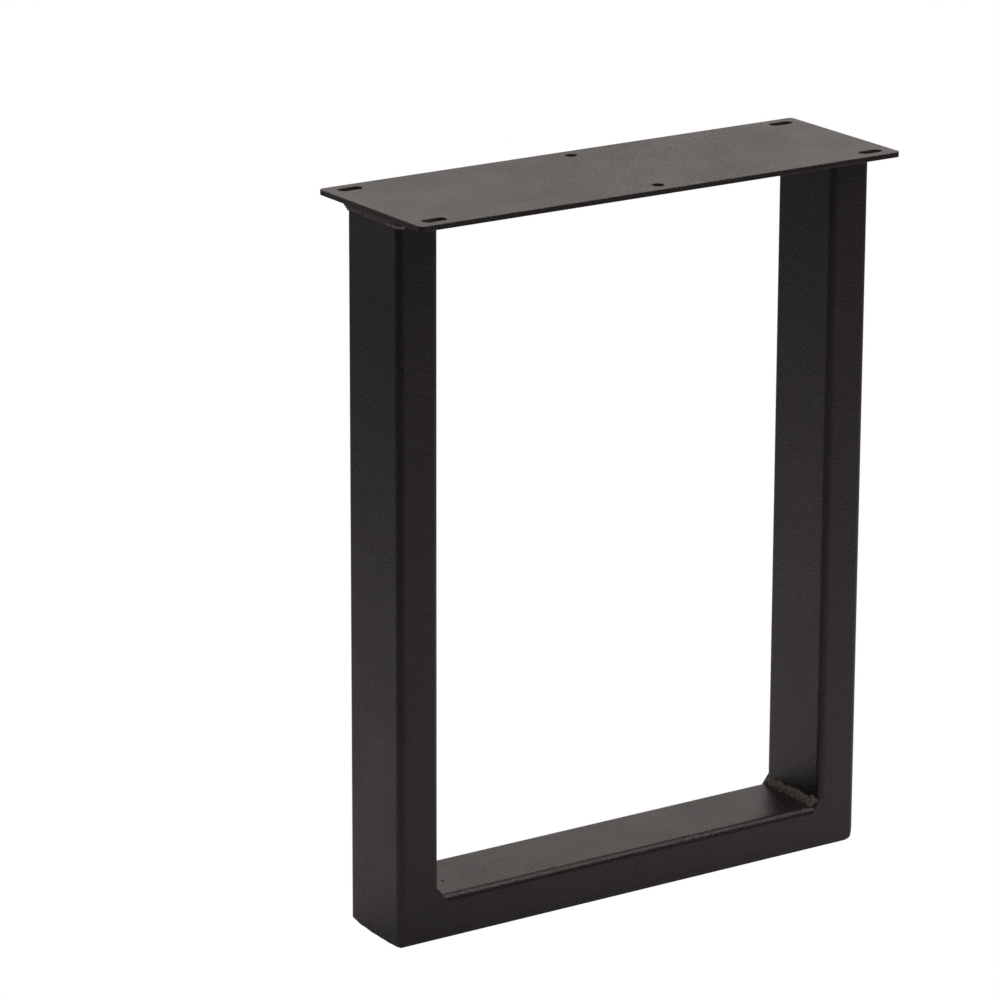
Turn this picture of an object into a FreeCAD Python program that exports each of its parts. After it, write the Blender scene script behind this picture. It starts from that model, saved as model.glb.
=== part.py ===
import FreeCAD, Part
import math
import os

# Steel leg frame for a bench or low table, in millimetres.
# Two uprights and a bottom rail of one rectangular tube are mitred and welded
# into a U, and a flat mounting plate closes the top.
# Frame: +Z up, X along the plate, Y across it, origin on the floor at the middle.

# Overall sizes
HEIGHT = 400.0
FRAME_WIDTH = 302.0

# Rectangular tube with rounded edges
TUBE_FACE = 25.0
TUBE_DEPTH = 50.0
TUBE_WALL = 2.0
TUBE_ROUND = 4.0

# Outer bottom corners, ground round after welding
CORNER_ROUND = 5.0

# Mounting plate: how far it stands past the frame's ends and the tube's sides
PLATE_END_OVERHANG = 2.0
PLATE_SIDE_OVERHANG = 24.0
PLATE_THICKNESS = 3.0
PLATE_CORNER_ROUND = 3.0
PLATE_EDGE_ROUND = 0.4

# Fixing holes in the plate: four slots near the corners, two round holes between,
# placed by the distance of their centres from the plate's edges
FIXING_WIDTH = 6.5
SLOT_LENGTH = 14.0
SLOT_END_DISTANCE = 14.0
FIXING_EDGE_DISTANCE = 9.0

# Fillet welds: legs on the tube and on the piece that it meets
PLATE_WELD_LEG = 3.0
CORNER_WELD_LEG = 3.0

# Spare length of cutting shapes past what they cut
CUT_SPARE = 1.0

QUARTER_TURN = 90.0
FLATNESS = 1e-6

X_AXIS = FreeCAD.Vector(1, 0, 0)
Y_AXIS = FreeCAD.Vector(0, 1, 0)
Z_AXIS = FreeCAD.Vector(0, 0, 1)

underside = HEIGHT - PLATE_THICKNESS
half_frame = FRAME_WIDTH / 2
half_depth = TUBE_DEPTH / 2
upright_centre = half_frame - TUBE_FACE / 2
inner_face = half_frame - TUBE_FACE
plate_length = FRAME_WIDTH + 2 * PLATE_END_OVERHANG
plate_width = TUBE_DEPTH + 2 * PLATE_SIDE_OVERHANG
slot_x = plate_length / 2 - SLOT_END_DISTANCE
fixing_y = plate_width / 2 - FIXING_EDGE_DISTANCE


def point(x, y, z=0.0):
    return FreeCAD.Vector(x, y, z)


def rounded_rectangle(length_x, length_y, radius, z=0.0):
    """Closed wire of a rectangle with round corners, centred on the Z axis."""
    hx = length_x / 2
    hy = length_y / 2
    arcs = []
    for turn, (x, y) in enumerate(((hx, hy), (-hx, hy), (-hx, -hy), (hx, -hy))):
        centre = point(x - math.copysign(radius, x), y - math.copysign(radius, y), z)
        start = turn * QUARTER_TURN
        arcs.append(Part.makeCircle(radius, centre, Z_AXIS, start, start + QUARTER_TURN))
    edges = []
    for arc, following in zip(arcs, arcs[1:] + arcs[:1]):
        edges.append(arc)
        edges.append(Part.makeLine(arc.lastVertex(True).Point, following.firstVertex(True).Point))
    return Part.Wire(edges)


def bar(length):
    """A solid bar with the tube's outside, standing on the XY plane."""
    return Part.Face(rounded_rectangle(TUBE_FACE, TUBE_DEPTH, TUBE_ROUND)).extrude(Z_AXIS * length)


def tube(length):
    """A straight piece of the rectangular tube, standing on the XY plane."""
    bore_face = TUBE_FACE - 2 * TUBE_WALL
    bore_depth = TUBE_DEPTH - 2 * TUBE_WALL
    bore = Part.Face(rounded_rectangle(bore_face, bore_depth, TUBE_ROUND - TUBE_WALL))
    return bar(length).cut(bore.extrude(Z_AXIS * length))


def extruded_across(points, depth):
    """A prism across the frame: a polygon in the XZ plane, centred on Y = 0."""
    outline = Part.makePolygon([point(x, -depth / 2, z) for x, z in points + points[:1]])
    return Part.Face(outline).extrude(Y_AXIS * depth)


def mitre_side(side, keep_upright):
    """The half of a bottom corner on one side of its mitre plane."""
    spare = CUT_SPARE
    outer = side * (half_frame + spare)
    inner = side * (inner_face - spare)
    low = -spare
    high = TUBE_FACE + spare
    third = (outer, high) if keep_upright else (inner, low)
    return extruded_across([(outer, low), third, (inner, high)], TUBE_DEPTH + 2 * spare)


def corner_waste(side):
    """What grinding takes off an outer bottom corner."""
    depth = TUBE_DEPTH + 2 * CUT_SPARE
    outer = side * (half_frame + CUT_SPARE)
    axis_x = side * (half_frame - CORNER_ROUND)
    points = [(axis_x, -CUT_SPARE), (outer, -CUT_SPARE), (outer, CORNER_ROUND), (axis_x, CORNER_ROUND)]
    block = extruded_across(points, depth)
    return block.cut(Part.makeCylinder(CORNER_ROUND, depth, point(axis_x, -depth / 2, CORNER_ROUND), Y_AXIS))


def upright(side, stock=tube):
    """One upright, mitred at its foot and square where it meets the plate."""
    body = stock(underside)
    body.translate(point(side * upright_centre, 0))
    return body.cut(mitre_side(side, keep_upright=False)).cut(corner_waste(side))


def bottom_rail(stock=tube):
    """The rail along the floor, mitred at both ends."""
    body = stock(FRAME_WIDTH)
    body.rotate(point(0, 0), Y_AXIS, QUARTER_TURN)
    body.translate(point(-half_frame, 0, TUBE_FACE / 2))
    for side in (-1, 1):
        body = body.cut(mitre_side(side, keep_upright=True)).cut(corner_waste(side))
    return body


def slot_outline(length, x, y, z):
    """Closed wire of a slot with round ends; at the slot's own width it is a circle."""
    radius = FIXING_WIDTH / 2
    reach = length / 2 - radius
    if reach < FLATNESS:
        return Part.Wire(Part.makeCircle(radius, point(x, y, z)))
    right = Part.makeCircle(radius, point(x + reach, y, z), Z_AXIS, -QUARTER_TURN, QUARTER_TURN)
    left = Part.makeCircle(radius, point(x - reach, y, z), Z_AXIS, QUARTER_TURN, 3 * QUARTER_TURN)
    far = Part.makeLine(right.lastVertex(True).Point, left.firstVertex(True).Point)
    near = Part.makeLine(left.lastVertex(True).Point, right.firstVertex(True).Point)
    return Part.Wire([right, far, left, near])


def fixing(length, x, y):
    """Cutter of one fixing hole in the plate."""
    outline = slot_outline(length, x, y, underside - CUT_SPARE)
    return Part.Face(outline).extrude(Z_AXIS * (PLATE_THICKNESS + 2 * CUT_SPARE))


def mounting_plate():
    """The flat plate with its slots and holes, its cut edges softened by the coat."""
    outline = rounded_rectangle(plate_length, plate_width, PLATE_CORNER_ROUND, underside)
    plate = Part.Face(outline).extrude(Z_AXIS * PLATE_THICKNESS)
    for y in (-fixing_y, fixing_y):
        plate = plate.cut(fixing(FIXING_WIDTH, 0, y))
        for x in (-slot_x, slot_x):
            plate = plate.cut(fixing(SLOT_LENGTH, x, y))
    rims = [edge for edge in plate.Edges if edge.BoundBox.ZLength < FLATNESS]
    return plate.makeFillet(PLATE_EDGE_ROUND, rims)


def plate_weld(side):
    """Fillet weld all round an upright where it meets the plate's flat underside."""
    leg = PLATE_WELD_LEG
    root = underside - leg
    low_section = rounded_rectangle(TUBE_FACE, TUBE_DEPTH, TUBE_ROUND, root)
    high_section = rounded_rectangle(TUBE_FACE + 2 * leg, TUBE_DEPTH + 2 * leg, TUBE_ROUND + leg, underside)
    cone = Part.makeLoft([low_section, high_section], True, True)
    core = bar(leg + 2 * CUT_SPARE)
    core.translate(Z_AXIS * (root - CUT_SPARE))
    ring = cone.cut(core)
    ring.translate(point(side * upright_centre, 0))
    flat_length = plate_length - 2 * PLATE_EDGE_ROUND
    flat_width = plate_width - 2 * PLATE_EDGE_ROUND
    under_plate = Part.makeBox(flat_length, flat_width, leg, point(-flat_length / 2, -flat_width / 2, root))
    return ring.common(under_plate)


def corner_weld(side):
    """Fillet weld in the inner corner between an upright and the rail.

    Its flat face runs on past both toes, so that the weld also fills the tubes'
    rounded edges in the corner, and its ends are ground flush with the tubes' sides.
    """
    near = -TUBE_DEPTH / 2
    root_x = inner_face + TUBE_ROUND
    root_z = TUBE_FACE - TUBE_ROUND
    reach = CORNER_WELD_LEG + 2 * TUBE_ROUND
    outline = Part.makePolygon([
        point(side * root_x, near, root_z),
        point(side * (root_x - reach), near, root_z),
        point(side * root_x, near, root_z + reach),
        point(side * root_x, near, root_z),
    ])
    bead = Part.Face(outline).extrude(Y_AXIS * TUBE_DEPTH)
    return bead.cut([upright(side, stock=bar), bottom_rail(stock=bar)])


def pieces():
    return {
        "mounting_plate": mounting_plate(),
        "left_upright": upright(-1),
        "right_upright": upright(1),
        "bottom_rail": bottom_rail(),
        "left_plate_weld": plate_weld(-1),
        "right_plate_weld": plate_weld(1),
        "left_corner_weld": corner_weld(-1),
        "right_corner_weld": corner_weld(1),
    }


os.makedirs("parts", exist_ok=True)
for name, shape in pieces().items():
    solids = shape.Solids
    print(name, shape.isValid(), len(solids), "solid", round(shape.Volume, 1), "mm3")
    shape.exportStep(os.path.join("parts", name + ".step"))
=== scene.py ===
import bpy
import math
from mathutils import Euler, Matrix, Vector, noise
import bmesh


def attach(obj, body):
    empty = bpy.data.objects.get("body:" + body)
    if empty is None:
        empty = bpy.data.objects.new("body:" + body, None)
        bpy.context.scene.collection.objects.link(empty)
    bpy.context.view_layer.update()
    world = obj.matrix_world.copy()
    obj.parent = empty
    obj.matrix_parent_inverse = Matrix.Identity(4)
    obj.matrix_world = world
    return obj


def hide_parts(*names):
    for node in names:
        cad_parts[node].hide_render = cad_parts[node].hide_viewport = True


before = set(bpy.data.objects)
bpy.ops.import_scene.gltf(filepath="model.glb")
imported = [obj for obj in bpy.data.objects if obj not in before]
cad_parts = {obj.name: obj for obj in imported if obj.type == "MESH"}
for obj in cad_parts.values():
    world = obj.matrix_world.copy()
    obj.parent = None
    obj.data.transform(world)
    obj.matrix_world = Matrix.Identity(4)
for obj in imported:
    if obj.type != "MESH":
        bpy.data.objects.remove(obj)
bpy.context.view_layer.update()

MM = 0.001
QUARTER_TURN = math.pi / 2
WHITE = (1.0, 1.0, 1.0, 1.0)

# Camera: a long lens that looks down on the leg's left front corner
CAMERA_AZIMUTH = 33.777
CAMERA_ELEVATION = 17.008
CAMERA_ROLL = -0.184
CAMERA_AIM = Vector((-71.56, 0.0, 230.15)) * MM
CAMERA_DISTANCE = 2769.9 * MM
CAMERA_LENS_MM = 188.59
CAMERA_REACH = 100.0
SENSOR_MM = 36.0

# Stage: a pale floor and a dim room, which the camera sees as white
FLOOR_SIZE = 40.0
FLOOR_GREY = 0.8
FLOOR_ROUGHNESS = 0.9
ROOM_LIGHT = 0.04

# Softboxes: place, the point that they face, size in metres, radiance.
# The foot box stands for the bright floor beside the left foot.
SOFTBOXES = {
    "front_box": ((0.55, -0.21, 0.85), (0.55, -0.21, 0.0), (0.6, 0.85), 3.05),
    "middle_box": ((0.0, -0.1, 0.9), (0.0, -0.1, 0.0), (0.6, 0.6), 2.45),
    "rear_box": ((-0.2, 0.5, 0.9), (-0.2, 0.5, 0.0), (0.6, 0.6), 1.8),
    "foot_box": ((-0.3, 0.2, 0.42), (-0.24, 0.1, 0.0), (0.22, 0.22), 1.2),
    "backdrop_low": ((2.6, 3.9, 0.75), (0.0, 0.0, 0.75), (4.5, 1.5), 0.96),
    "backdrop_high": ((2.6, 3.9, 1.8), (0.0, 0.0, 1.8), (4.5, 0.6), 0.66),
}
LIGHT_COLOUR = (1.07, 0.99, 0.955)

# Powder coat: warm black, with a fine pebbled skin.
# Each noise has the size of its spots and how many finer layers it has.
COAT_COLOUR = (0.0104, 0.0077, 0.0070)
COAT_ROUGHNESS = 0.32
COAT_IOR = 1.5
GRAIN_NOISE = (0.8 * MM, 2.0)
GRAIN_DEPTH = 0.32 * MM
SPECKLE_NOISE = (0.8 * MM, 1.0)
SPECKLE = 0.85
CLOUD_NOISE = (35.0 * MM, 3.0)
CLOUD_ROUGHNESS = 0.03
NOISE_LOW = 0.3
NOISE_HIGH = 0.7

# The coat on the beads is matt. Its colours are painted light: lighter than the tubes' coat,
# to paint the light on the beads' rims, and on the lips and front lumps under the plate a still
# lighter one, a painted highlight.
WELD_PAINTED_LIGHT_COLOUR = (0.062, 0.054, 0.045)
WELD_BODY_COLOUR = (0.024, 0.021, 0.018)
WELD_PAINTED_HIGHLIGHT_COLOUR = (0.17, 0.16, 0.15)
WELD_ROUGHNESS = 0.5

# From here on all sizes are in millimetres. The leg's main sizes are the frame's.
HALF_FRAME = 151.0
TUBE_FACE = 25.0
TUBE_DEPTH = 50.0
TUBE_ROUND = 4.0
UNDERSIDE = 397.0
INNER_FACE = HALF_FRAME - TUBE_FACE
HALF_DEPTH = TUBE_DEPTH / 2

# Inside the tubes: their wall, and how far the weld's root fills the outer corners
TUBE_WALL = 2.0
ROOT_FILL = 5.0

# Steps round each rounded edge of the tube
TUBE_ARC_STEPS = 10

# Points nearer than this are joined
MERGE_DISTANCE = 0.0001

# Edges sharper than these angles, in degrees, stay sharp
TUBE_SHARP_ANGLE = 28.0
BEAD_SHARP_ANGLE = 60.0

# How strongly large faces set the direction of a tube's smooth shading, out of 100
LARGE_FACE_WEIGHT = 100

# Outer left corner, ground by hand: how far its round reaches at places across the tube
LEFT_ROUNDS = (
    (-26.0, 5.4), (-23.0, 3.8), (-19.0, 2.2), (-12.0, 1.9), (0.0, 2.5),
    (11.0, 3.6), (18.0, 4.9), (22.0, 6.0), (26.0, 7.8),
)

# Outer right corner: a plain round in the middle, which turns over a run towards both
# ends into an outline of insets and heights, one for each facet's end
RIGHT_ROUND = 5.0
RIGHT_TURN_START = 8.0
RIGHT_TURN_RUN = 11.0
RIGHT_END_OUTLINE = (
    (0.0, 16.0), (0.15, 13.0), (0.5, 10.6), (1.0, 8.0), (1.6, 5.4), (2.4, 3.4),
    (3.3, 2.1), (4.2, 1.2), (5.3, 0.6), (6.8, 0.2), (9.0, 0.0),
)

# Grinding: facets round the corner, steps across the tube, how far the tool stands
# past the tube's sides and out from the corner, and how far off the tube's faces its
# outline starts and ends, so that no faces coincide
GRIND_FACETS = 10
GRIND_STEPS = 26
GRIND_SIDE_SPARE = 1.0
GRIND_OUT_SPARE = 2.0
GRIND_SKIM = 0.02

# Random bumps: height and size. On the pinhole, the spatter and the plate beads' lip
# the height is a share of what the bumps are on.
GRIND_DENTS = (0.1, 5.0)
PINHOLE_BUMPS = (0.15, 0.6)
SPATTER_BUMPS = (0.2, 0.5)
CORNER_TOE_BUMPS = (0.45, 3.6)
CORNER_LUMPS = (0.26, 2.4)
CORNER_GRIT = (0.12, 0.9)
PLATE_RUN_BUMPS = (0.35, 4.0)
PLATE_DROP_BUMPS = (0.45, 3.0)
PLATE_LUMPS = (0.22, 1.9)
PLATE_GRIT = (0.12, 0.8)
PLATE_LIP_BUMPS = (0.5, 2.6)

# What brings the noise to about -1 to 1, how far a seed of 1 shifts the bumps along each
# axis, and the seeds. The side, -1 or 1, is added to most seeds, so that the sides differ.
NOISE_GAIN = 2.0
SEED_STEPS = (1.0, 3.1, 7.7)
CORNER_TOE_SEED = 2.0
SPATTER_SEED = 3.0
CORNER_LUMP_SEED = 4.0
PINHOLE_SEED = 5.0
CORNER_GRIT_SEED = 8.0
DENT_SEED = 11.0
PLATE_RUN_SEED = 21.0
PLATE_DROP_SEED = 25.0
PLATE_LUMP_SEED = 31.0
PLATE_GRIT_SEED = 37.0
PLATE_LIP_SEED = 41.0

# Length along a ground corner for each radian of its turn, where its dents are read
DENT_ARC = 4.0

# A pinhole in the coat on top of the rail, near the left corner
PINHOLE = Vector((-111.55, -5.6, 25.0))
PINHOLE_RADIUS = 0.95

# A drop of weld spatter on top of the rail, near the right corner, a little flattened
SPATTER = Vector((107.0, -15.7, 25.0))
SPATTER_RADIUS = 0.55
SPATTER_FLATNESS = 0.7
BALL_SUBDIVISIONS = 3

# Beads in the inner corners: their legs along the rail and up the upright, in the
# middle and where their ends are ground flush. Then how far from the middle the
# grinding sets in and over what run, how wide a strip at each end has the tubes' coat,
# the steps along, the rows across, and how far apart the two toes' bumps are read.
CORNER_LEGS = (3.3, 3.6)
CORNER_END_LEGS = {-1: (2.8, 3.4), 1: (1.5, 1.9)}
CORNER_FLUSH_START = 22.2
CORNER_FLUSH_RUN = 2.4
CORNER_FLUSH_STRIP = 2.1
CORNER_STEPS = 140
CORNER_ROWS = 18
CORNER_ROOT_ROWS = 3
CORNER_TOES_APART = 9.0

# Their crown and its roundness, and the ripples: height, spacing and how far they bow
CORNER_CROWN = 0.35
CORNER_CROWN_POWER = 0.7
RIPPLE_HEIGHT = 0.07
RIPPLE_SPACING = 1.7
RIPPLE_BOW = 1.2

# Where a corner bead swells near the front: strength, place and width. The swell adds
# to the legs, in millimetres, and to the lumps' height, in shares of it.
CORNER_SWELLS = {-1: (0.3, -18.0, 4.0), 1: (1.0, -18.8, 2.6)}
SWELL_LEG = 1.3
SWELL_LUMPS = 1.1

# Beads under the plate: their legs along the plate and down the tube, how far from
# the leg's middle they may reach, the steps round the tube and the rows down it, and
# the powers that shape their face and the spread of their lumps
PLATE_LEGS = (2.8, 3.0)
PLATE_BEAD_LIMIT = 152.8
PLATE_STEPS = 280
PLATE_ROWS = 20
PLATE_FALL_POWER = 1.6
PLATE_LUMP_POWER = 0.5

# The lip along their lower toe: how far it stands out, its place and width as shares of
# the bead's fall, how many rows have the painted highlight, a lighter colour painted on
# the lip, and how far behind the tube's front that painted highlight begins
PLATE_LIP = 0.45
PLATE_LIP_PLACE = 0.9
PLATE_LIP_WIDTH = 0.09
PAINTED_HIGHLIGHT_ROWS = 3
PAINTED_HIGHLIGHT_END = 1.0

# The rougher bead at the left upright's front corner: its reach, what it adds to the
# drop, in millimetres, and to the lumps' height, in shares of it
ROUGH_CORNER_REACH = 4.5
ROUGH_CORNER_DROP = 1.1
ROUGH_CORNER_LUMPS = 1.2

# Where that corner has the painted highlight, a lighter colour painted on its lumps: how much
# longer it runs along the tube's side, the first row at its middle, and rows lost for each
# millimetre away from there
PAINTED_HIGHLIGHT_CORNER_STRETCH = 2.4
PAINTED_HIGHLIGHT_CORNER_ROW = PLATE_ROWS // 3
PAINTED_HIGHLIGHT_CORNER_SLOPE = 2


def add_camera():
    azimuth = math.radians(CAMERA_AZIMUTH)
    elevation = math.radians(CAMERA_ELEVATION)
    ahead = Vector((
        math.sin(azimuth) * math.cos(elevation),
        math.cos(azimuth) * math.cos(elevation),
        -math.sin(elevation),
    ))
    data = bpy.data.cameras.new("camera")
    data.lens = CAMERA_LENS_MM
    data.sensor_width = SENSOR_MM
    data.clip_end = CAMERA_REACH
    camera = bpy.data.objects.new("camera", data)
    bpy.context.scene.collection.objects.link(camera)
    camera.location = CAMERA_AIM - ahead * CAMERA_DISTANCE
    turn = Euler((QUARTER_TURN - elevation, 0.0, -azimuth)).to_quaternion()
    roll = Euler((0.0, 0.0, math.radians(-CAMERA_ROLL))).to_quaternion()
    camera.rotation_mode = "QUATERNION"
    camera.rotation_quaternion = turn @ roll
    bpy.context.scene.camera = camera


def powder_coat(name, colour, roughness):
    """Black powder coat: a fine pebbled skin, slightly uneven in tone and gloss."""
    material = bpy.data.materials.new(name)
    material.use_nodes = True
    tree = material.node_tree
    link = tree.links.new
    shader = tree.nodes["Principled BSDF"]
    shader.inputs["IOR"].default_value = COAT_IOR
    place = tree.nodes.new("ShaderNodeTexCoord")

    def spots(size, detail):
        made = tree.nodes.new("ShaderNodeTexNoise")
        made.inputs["Scale"].default_value = 1.0 / size
        made.inputs["Detail"].default_value = detail
        link(place.outputs["Object"], made.inputs["Vector"])
        return made.outputs["Fac"]

    def spread(source, low, high):
        made = tree.nodes.new("ShaderNodeMapRange")
        made.inputs["From Min"].default_value = NOISE_LOW
        made.inputs["From Max"].default_value = NOISE_HIGH
        made.inputs["To Min"].default_value = low
        made.inputs["To Max"].default_value = high
        link(source, made.inputs["Value"])
        return made.outputs["Result"]

    grain = spots(*GRAIN_NOISE)
    speckle = spots(*SPECKLE_NOISE)
    cloud = spots(*CLOUD_NOISE)
    tone = tree.nodes.new("ShaderNodeMix")
    tone.data_type = "RGBA"
    tone.inputs["A"].default_value = (*(part * (1.0 - SPECKLE) for part in colour), 1.0)
    tone.inputs["B"].default_value = (*(part * (1.0 + SPECKLE) for part in colour), 1.0)
    link(spread(speckle, 0.0, 1.0), tone.inputs["Factor"])
    link(tone.outputs["Result"], shader.inputs["Base Color"])
    gloss = spread(cloud, roughness - CLOUD_ROUGHNESS, roughness + CLOUD_ROUGHNESS)
    link(gloss, shader.inputs["Roughness"])
    bump = tree.nodes.new("ShaderNodeBump")
    bump.inputs["Distance"].default_value = GRAIN_DEPTH
    link(grain, bump.inputs["Height"])
    link(bump.outputs["Normal"], shader.inputs["Normal"])
    return material


def add_light(name, place, aim, size, radiance):
    """A softbox: it gives off the same radiance everywhere, and isn't seen itself."""
    data = bpy.data.lights.new(name, "AREA")
    data.shape = "RECTANGLE"
    data.size, data.size_y = size
    data.energy = radiance * math.pi * size[0] * size[1]
    data.color = LIGHT_COLOUR
    light = bpy.data.objects.new(name, data)
    bpy.context.scene.collection.objects.link(light)
    light.location = place
    light.rotation_mode = "QUATERNION"
    light.rotation_quaternion = (Vector(aim) - Vector(place)).to_track_quat("-Z", "Y")
    light.visible_camera = False


def burn_out(tree, lit, output):
    """What the camera sees directly is white, as in an overexposed background."""
    kind = "ShaderNodeEmission" if output.type == "OUTPUT_MATERIAL" else "ShaderNodeBackground"
    seen = tree.nodes.new(kind)
    seen.inputs["Color"].default_value = WHITE
    path = tree.nodes.new("ShaderNodeLightPath")
    mix = tree.nodes.new("ShaderNodeMixShader")
    tree.links.new(path.outputs["Is Camera Ray"], mix.inputs["Fac"])
    tree.links.new(lit.outputs[0], mix.inputs[1])
    tree.links.new(seen.outputs[0], mix.inputs[2])
    tree.links.new(mix.outputs[0], output.inputs["Surface"])


def add_stage():
    mesh = bpy.data.meshes.new("floor")
    half = FLOOR_SIZE / 2
    corners = [(-half, -half, 0), (half, -half, 0), (half, half, 0), (-half, half, 0)]
    mesh.from_pydata(corners, [], [(0, 1, 2, 3)])
    floor = new_object("floor", mesh)
    material = bpy.data.materials.new("floor")
    material.use_nodes = True
    tree = material.node_tree
    shader = tree.nodes["Principled BSDF"]
    shader.inputs["Base Color"].default_value = (FLOOR_GREY, FLOOR_GREY, FLOOR_GREY, 1.0)
    shader.inputs["Roughness"].default_value = FLOOR_ROUGHNESS
    burn_out(tree, shader, tree.nodes["Material Output"])
    mesh.materials.append(material)
    world = bpy.data.worlds.new("world")
    world.use_nodes = True
    tree = world.node_tree
    room = tree.nodes["Background"]
    room.inputs["Color"].default_value = WHITE
    room.inputs["Strength"].default_value = ROOM_LIGHT
    burn_out(tree, room, tree.nodes["World Output"])
    bpy.context.scene.world = world


def new_object(name, mesh):
    made = bpy.data.objects.new(name, mesh)
    bpy.context.scene.collection.objects.link(made)
    return made


def mesh_of(name, build):
    """Turns a finished bmesh into a mesh."""
    mesh = bpy.data.meshes.new(name)
    build.to_mesh(mesh)
    build.free()
    return mesh


def loft(name, rings, closed=False):
    """A closed skin through rings of points, capped unless it closes on itself."""
    build = bmesh.new()
    rows = [[build.verts.new(Vector(p) * MM) for p in ring] for ring in rings]
    following = rows[1:] + rows[:1] if closed else rows[1:]
    for near, far in zip(rows, following):
        for i in range(len(near)):
            k = (i + 1) % len(near)
            build.faces.new((near[i], near[k], far[k], far[i]))
    if not closed:
        build.faces.new(rows[0])
        build.faces.new(list(reversed(rows[-1])))
    bmesh.ops.remove_doubles(build, verts=build.verts, dist=MERGE_DISTANCE * MM)
    bmesh.ops.recalc_face_normals(build, faces=build.faces)
    return mesh_of(name, build)


def ease(t):
    """Smooth step from 0 to 1."""
    t = min(max(t, 0.0), 1.0)
    return t * t * (3.0 - 2.0 * t)


def hump(distance, width):
    """Smooth hump of height 1 that falls off over the given width."""
    return math.exp(-(distance / width) ** 2)


def bumps(kind, place, seed):
    """Smooth random height for bumps of about the given height and size."""
    height, size = kind
    shift = Vector([seed * step for step in SEED_STEPS])
    return height * (NOISE_GAIN * noise.noise(Vector(place) / size + shift))


def between(table, place):
    """Straight-line reading of a table of places and values."""
    for (low, first), (high, second) in zip(table, table[1:]):
        if place <= high:
            return first + (second - first) * max(place - low, 0.0) / (high - low)
    return table[-1][1]


def ground_outline(side, y):
    """Insets and heights of a ground corner's outline at one place across the tube."""
    radius = between(LEFT_ROUNDS, y) if side < 0 else RIGHT_ROUND
    points = []
    for i in range(GRIND_FACETS + 1):
        turn = QUARTER_TURN * i / GRIND_FACETS
        inset = radius * (1.0 - math.cos(turn))
        height = radius * (1.0 - math.sin(turn))
        if side > 0:
            end = ease((abs(y) - RIGHT_TURN_START) / RIGHT_TURN_RUN)
            inset += end * (RIGHT_END_OUTLINE[i][0] - inset)
            height += end * (RIGHT_END_OUTLINE[i][1] - height)
        dent = bumps(GRIND_DENTS, (DENT_ARC * turn, y, 0.0), DENT_SEED + side)
        dent *= math.sin(2 * turn)
        points.append((inset + dent, height + dent))
    return points


def grinding_tool(side):
    """What the grinder takes off an outer bottom corner: all outside an uneven round."""
    rings = []
    low = -GRIND_OUT_SPARE
    for j in range(GRIND_STEPS + 1):
        y = -HALF_DEPTH - GRIND_SIDE_SPARE + (TUBE_DEPTH + 2 * GRIND_SIDE_SPARE) * j / GRIND_STEPS
        points = ground_outline(side, y)
        points[0] = (-GRIND_SKIM, points[0][1])
        points[-1] = (points[-1][0], -GRIND_SKIM)
        points += [(points[-1][0], low), (low, low), (low, points[0][1])]
        rings.append([(side * (HALF_FRAME - inset), y, height) for inset, height in points])
    return loft("grinding_tool", rings)


def uneven_ball(name, place, radius, kind, seed, flatness=1.0):
    """A small lumpy ball."""
    build = bmesh.new()
    bmesh.ops.create_icosphere(build, subdivisions=BALL_SUBDIVISIONS, radius=radius)
    for v in build.verts:
        v.co *= 1.0 + bumps(kind, v.co, seed)
        v.co.z *= flatness
        v.co = (v.co + place) * MM
    return mesh_of(name, build)


def tube_outline(inset):
    """Points of the tube's section inside or outside, long side second."""
    radius = TUBE_ROUND - inset
    points = []
    for quarter, (a, b) in enumerate(((1, 1), (-1, 1), (-1, -1), (1, -1))):
        for i in range(TUBE_ARC_STEPS + 1):
            turn = QUARTER_TURN * (quarter + i / TUBE_ARC_STEPS)
            points.append((
                a * (TUBE_FACE / 2 - TUBE_ROUND) + radius * math.cos(turn),
                b * (HALF_DEPTH - TUBE_ROUND) + radius * math.sin(turn),
            ))
    return points


def upright_skin(side):
    """The hollow upright with a sharp mitred foot, its bore's outer corner filled."""
    centre = HALF_FRAME - TUBE_FACE / 2
    outside, bore = (
        [(side * (centre + a), b) for a, b in tube_outline(inset)] for inset in (0.0, TUBE_WALL)
    )
    deepest = HALF_FRAME - ROOT_FILL
    foot = [(x, y, HALF_FRAME - abs(x)) for x, y in outside]
    head = [(x, y, UNDERSIDE) for x, y in outside]
    bore_head = [(x, y, UNDERSIDE) for x, y in bore]
    bore_foot = [(x, y, max(HALF_FRAME - abs(x), ROOT_FILL)) for x, y in bore]
    root = [(side * min(abs(x), deepest), y, z) for x, y, z in bore_foot]
    return loft("upright", [foot, head, bore_head, bore_foot, root], closed=True)


def rail_skin():
    """The hollow rail, mitred at both ends, with the same fill in its bore."""
    outside, bore = (
        [(b, TUBE_FACE / 2 + a) for a, b in tube_outline(inset)] for inset in (0.0, TUBE_WALL)
    )

    def end(spots, side, lowest=0.0, cut=0.0):
        return [(side * (HALF_FRAME - max(z, cut)), y, max(z, lowest)) for y, z in spots]

    rings = [end(outside, -1), end(outside, 1)]
    rings += [end(bore, 1, ROOT_FILL, ROOT_FILL), end(bore, 1, 0.0, ROOT_FILL)]
    rings += [end(bore, -1, 0.0, ROOT_FILL), end(bore, -1, ROOT_FILL, ROOT_FILL)]
    return loft("rail", rings, closed=True)


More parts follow.
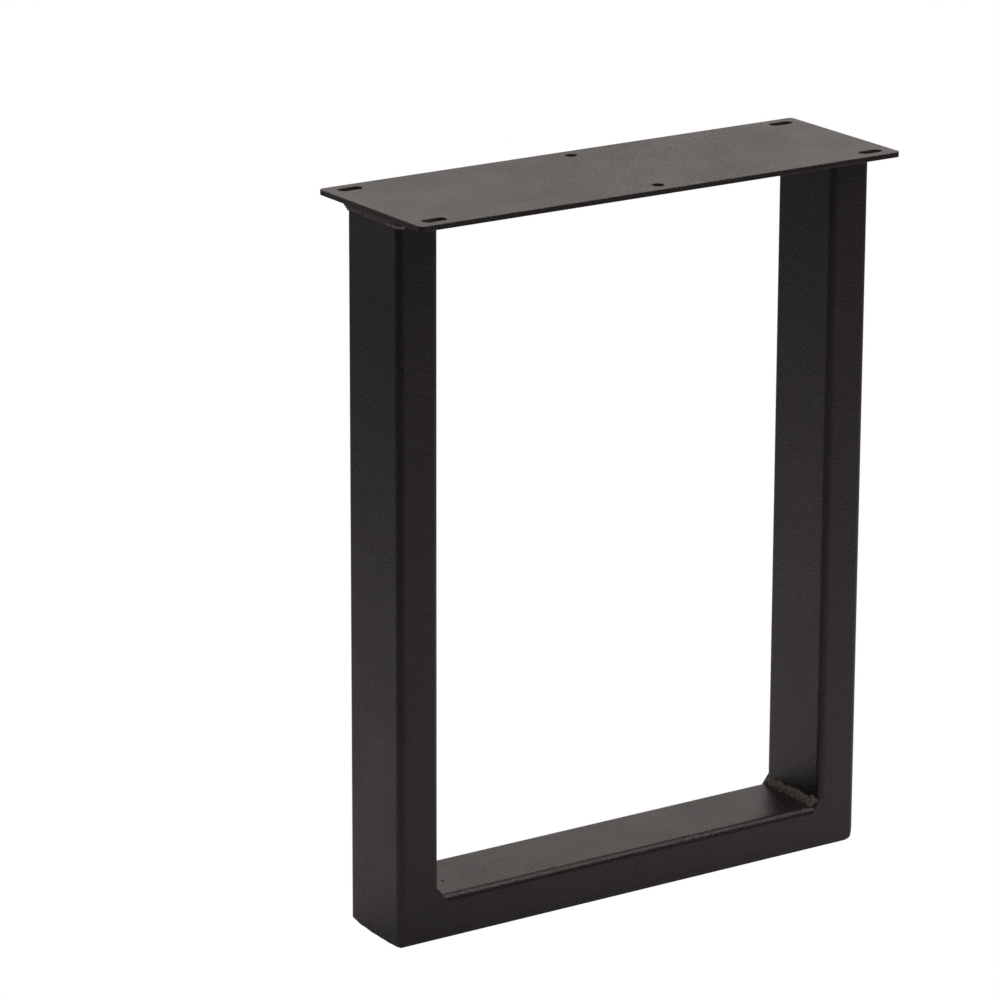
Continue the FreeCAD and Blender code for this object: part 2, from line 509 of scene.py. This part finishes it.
def worked_tube(name, mesh, tools, material):
    """A tube with the tools' shapes taken off, to stand for the CAD tube."""
    tube = new_object(name + "_tube", mesh)
    cutters = [new_object("tool", tool) for tool in tools]
    for cutter in cutters:
        cut = tube.modifiers.new("cut", "BOOLEAN")
        cut.operation = "DIFFERENCE"
        cut.solver = "MANIFOLD"
        cut.object = cutter
    graph = bpy.context.evaluated_depsgraph_get()
    tube.data = bpy.data.meshes.new_from_object(tube.evaluated_get(graph))
    tube.modifiers.clear()
    for cutter in cutters:
        bpy.data.objects.remove(cutter)
    tube.data.shade_smooth()
    tube.data.set_sharp_from_angle(angle=math.radians(TUBE_SHARP_ANGLE))
    tube.data.materials.clear()
    tube.data.materials.append(material)
    even = tube.modifiers.new("even", "WEIGHTED_NORMAL")
    even.keep_sharp = True
    even.weight = LARGE_FACE_WEIGHT
    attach(tube, "root")
    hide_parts(name)


def corner_bead(side):
    """Rough fillet bead in an inner corner, its ends ground flush with the tubes' sides."""
    rings = []
    strength, swell_place, swell_width = CORNER_SWELLS[side]
    for j in range(CORNER_STEPS + 1):
        y = -HALF_DEPTH + TUBE_DEPTH * j / CORNER_STEPS
        past = max(abs(y) - (HALF_DEPTH - TUBE_ROUND), 0.0)
        sink = TUBE_ROUND - math.sqrt(max(TUBE_ROUND ** 2 - past ** 2, 0.0))
        ground = ease((abs(y) - CORNER_FLUSH_START) / CORNER_FLUSH_RUN)
        swell = strength * hump(y - swell_place, swell_width)
        legs = []
        for k, (leg, end_leg) in enumerate(zip(CORNER_LEGS, CORNER_END_LEGS[side])):
            toe_spot = (0.0, y, CORNER_TOES_APART * k)
            run = leg + bumps(CORNER_TOE_BUMPS, toe_spot, CORNER_TOE_SEED + side)
            run += SWELL_LEG * swell
            legs.append(run + ground * (end_leg - run))
        toe = Vector((INNER_FACE - legs[0] - sink * legs[0] / legs[1], y, TUBE_FACE - sink))
        top = Vector((INNER_FACE + sink, y, TUBE_FACE + legs[1] + sink * legs[1] / legs[0]))
        root = Vector((INNER_FACE + sink, y, TUBE_FACE - sink))
        outward = Vector((-legs[1], 0.0, legs[0])).normalized()
        ring = [root.lerp(toe, i / CORNER_ROOT_ROWS) for i in range(CORNER_ROOT_ROWS)]
        for i in range(CORNER_ROWS + 1):
            t = i / CORNER_ROWS
            bulge = math.sin(math.pi * t) ** CORNER_CROWN_POWER
            spot = toe.lerp(top, t)
            lump = bumps(CORNER_LUMPS, spot, CORNER_LUMP_SEED + side)
            lump += bumps(CORNER_GRIT, spot, CORNER_GRIT_SEED + side)
            bowed = y + RIPPLE_BOW * t * (1 - t) * 4
            ripple = RIPPLE_HEIGHT * math.sin(2 * math.pi * bowed / RIPPLE_SPACING)
            height = CORNER_CROWN + (lump + ripple) * (1.0 + SWELL_LUMPS * swell)
            height *= 1.0 - ground
            ring.append(spot + outward * height * bulge)
        ring.extend(top.lerp(root, i / CORNER_ROOT_ROWS) for i in range(1, CORNER_ROOT_ROWS))
        rings.append([(side * p.x, p.y, p.z) for p in ring])
    return loft("corner_bead", rings)


def head_outline(share):
    """A point on the tube's outline, from its centre, and the way out of the tube there.

    The outline is eight runs, a flat and a round in turn; each starts from the centre
    of the round that it begins at.
    """
    flat_x = TUBE_FACE / 2 - TUBE_ROUND
    flat_y = HALF_DEPTH - TUBE_ROUND
    arc = QUARTER_TURN * TUBE_ROUND
    runs = [2 * flat_y, arc, 2 * flat_x, arc] * 2
    starts = [(1, -1), (1, 1), (1, 1), (-1, 1), (-1, 1), (-1, -1), (-1, -1), (1, -1)]
    left = share * sum(runs)
    part = 0
    while left > runs[part] and part < len(runs) - 1:
        left -= runs[part]
        part += 1
    centre = Vector((starts[part][0] * flat_x, starts[part][1] * flat_y, 0.0))
    rounded = part % 2 == 1
    turn = (part // 2) * QUARTER_TURN + (left / TUBE_ROUND if rounded else 0.0)
    out = Vector((math.cos(turn), math.sin(turn), 0.0))
    base = centre + out * TUBE_ROUND
    if not rounded:
        base += Vector((-out.y, out.x, 0.0)) * left
    return base, out


def plate_bead(side):
    """Rough bead all round an upright's head, under the plate, with a lip along its toe."""
    centre = Vector((side * (HALF_FRAME - TUBE_FACE / 2), 0.0, UNDERSIDE))
    rings = []
    for j in range(PLATE_STEPS):
        base, out = head_outline(j / PLATE_STEPS)
        base = base + centre
        spot = base + out
        corner = hump(math.hypot(base.x + HALF_FRAME, base.y + HALF_DEPTH), ROUGH_CORNER_REACH)
        run = PLATE_LEGS[0] + bumps(PLATE_RUN_BUMPS, spot, PLATE_RUN_SEED + side)
        drop = PLATE_LEGS[1] + bumps(PLATE_DROP_BUMPS, spot, PLATE_DROP_SEED + side)
        drop += ROUGH_CORNER_DROP * corner
        if out.x * side > 0:
            run = min(run, (PLATE_BEAD_LIMIT - abs(base.x)) / abs(out.x))
        ring = [base]
        for i in range(PLATE_ROWS + 1):
            fall = i / PLATE_ROWS
            turn = QUARTER_TURN * fall
            lip = PLATE_LIP * hump(fall - PLATE_LIP_PLACE, PLATE_LIP_WIDTH)
            lip *= 1.0 + bumps(PLATE_LIP_BUMPS, base, PLATE_LIP_SEED)
            if i == PLATE_ROWS:
                spot = base - Vector((0, 0, drop))
            else:
                reach = run * (1.0 - fall ** PLATE_FALL_POWER) + lip
                spot = base + out * reach - Vector((0, 0, drop * fall))
            lump = bumps(PLATE_LUMPS, spot, PLATE_LUMP_SEED + side)
            lump += bumps(PLATE_GRIT, spot, PLATE_GRIT_SEED + side)
            lump *= 1.0 + ROUGH_CORNER_LUMPS * corner
            lump *= math.sin(2 * turn) ** PLATE_LUMP_POWER if 0 < i < PLATE_ROWS else 0.0
            spot += (out * math.cos(turn) - Vector((0, 0, math.sin(turn)))) * lump
            spot.x = min(max(spot.x, -PLATE_BEAD_LIMIT), PLATE_BEAD_LIMIT)
            ring.append(spot)
        rings.append(ring)
    return loft("plate_bead", rings, closed=True)


def is_flush(face):
    """What is ground flush with the tubes' sides on a corner bead."""
    return abs(face.center.y) > (HALF_DEPTH - CORNER_FLUSH_STRIP) * MM


def is_painted_highlight(face):
    """Faces with the painted highlight: the lip along a plate bead's toe, and the lumps at the
    left upright's front corner.
    """
    row = face.index % (PLATE_ROWS + 2)
    spot = face.center / MM
    along = spot.y + HALF_DEPTH
    if along > 0:
        along /= PAINTED_HIGHLIGHT_CORNER_STRETCH
    off_corner = math.hypot(spot.x + HALF_FRAME, along)
    if off_corner < ROUGH_CORNER_REACH:
        return row > PAINTED_HIGHLIGHT_CORNER_ROW + off_corner * PAINTED_HIGHLIGHT_CORNER_SLOPE
    return row > PLATE_ROWS - PAINTED_HIGHLIGHT_ROWS and spot.y > -HALF_DEPTH + PAINTED_HIGHLIGHT_END


def add_bead(name, mesh, node, material, second=None, where=None):
    """A bead in its material, with a second one on the faces that the test names."""
    bead = new_object(name, mesh)
    mesh.shade_smooth()
    mesh.set_sharp_from_angle(angle=math.radians(BEAD_SHARP_ANGLE))
    mesh.materials.append(material)
    if second:
        mesh.materials.append(second)
        for face in mesh.polygons:
            face.material_index = int(where(face))
    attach(bead, "root")
    if node:
        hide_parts(node)


def dress():
    """Coats the plate, and puts detailed tubes and beads in place of the plain ones."""
    coat = powder_coat("black_powder_coat", COAT_COLOUR, COAT_ROUGHNESS)
    # The beads' and the spatter's colours are painted light, and the plate beads' second colour
    # is a painted highlight.
    weld = powder_coat("coated_weld", WELD_PAINTED_LIGHT_COLOUR, WELD_ROUGHNESS)
    body = powder_coat("coated_weld_body", WELD_BODY_COLOUR, WELD_ROUGHNESS)
    painted_highlight = powder_coat("coated_weld_painted_highlight", WELD_PAINTED_HIGHLIGHT_COLOUR, WELD_ROUGHNESS)
    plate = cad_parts["mounting_plate"]
    plate.data.materials.clear()
    plate.data.materials.append(coat)
    pinhole = uneven_ball("pinhole_tool", PINHOLE, PINHOLE_RADIUS, PINHOLE_BUMPS, PINHOLE_SEED)
    worked_tube("left_upright", upright_skin(-1), [grinding_tool(-1)], coat)
    worked_tube("right_upright", upright_skin(1), [grinding_tool(1)], coat)
    worked_tube("bottom_rail", rail_skin(), [grinding_tool(-1), grinding_tool(1), pinhole], coat)
    for side, word in ((-1, "left"), (1, "right")):
        node = word + "_corner_weld"
        add_bead(word + "_corner_bead", corner_bead(side), node, weld, coat, is_flush)
        node = word + "_plate_weld"
        # Its lips and front corner lumps get the painted highlight.
        add_bead(word + "_plate_bead", plate_bead(side), node, body, painted_highlight, is_painted_highlight)
    spatter = uneven_ball(
        "spatter", SPATTER, SPATTER_RADIUS, SPATTER_BUMPS, SPATTER_SEED, SPATTER_FLATNESS
    )
    add_bead("weld_spatter", spatter, None, weld)


add_camera()
add_stage()
for name, softbox in SOFTBOXES.items():
    add_light(name, *softbox)
dress()
bpy.context.scene.view_settings.view_transform = "Standard"
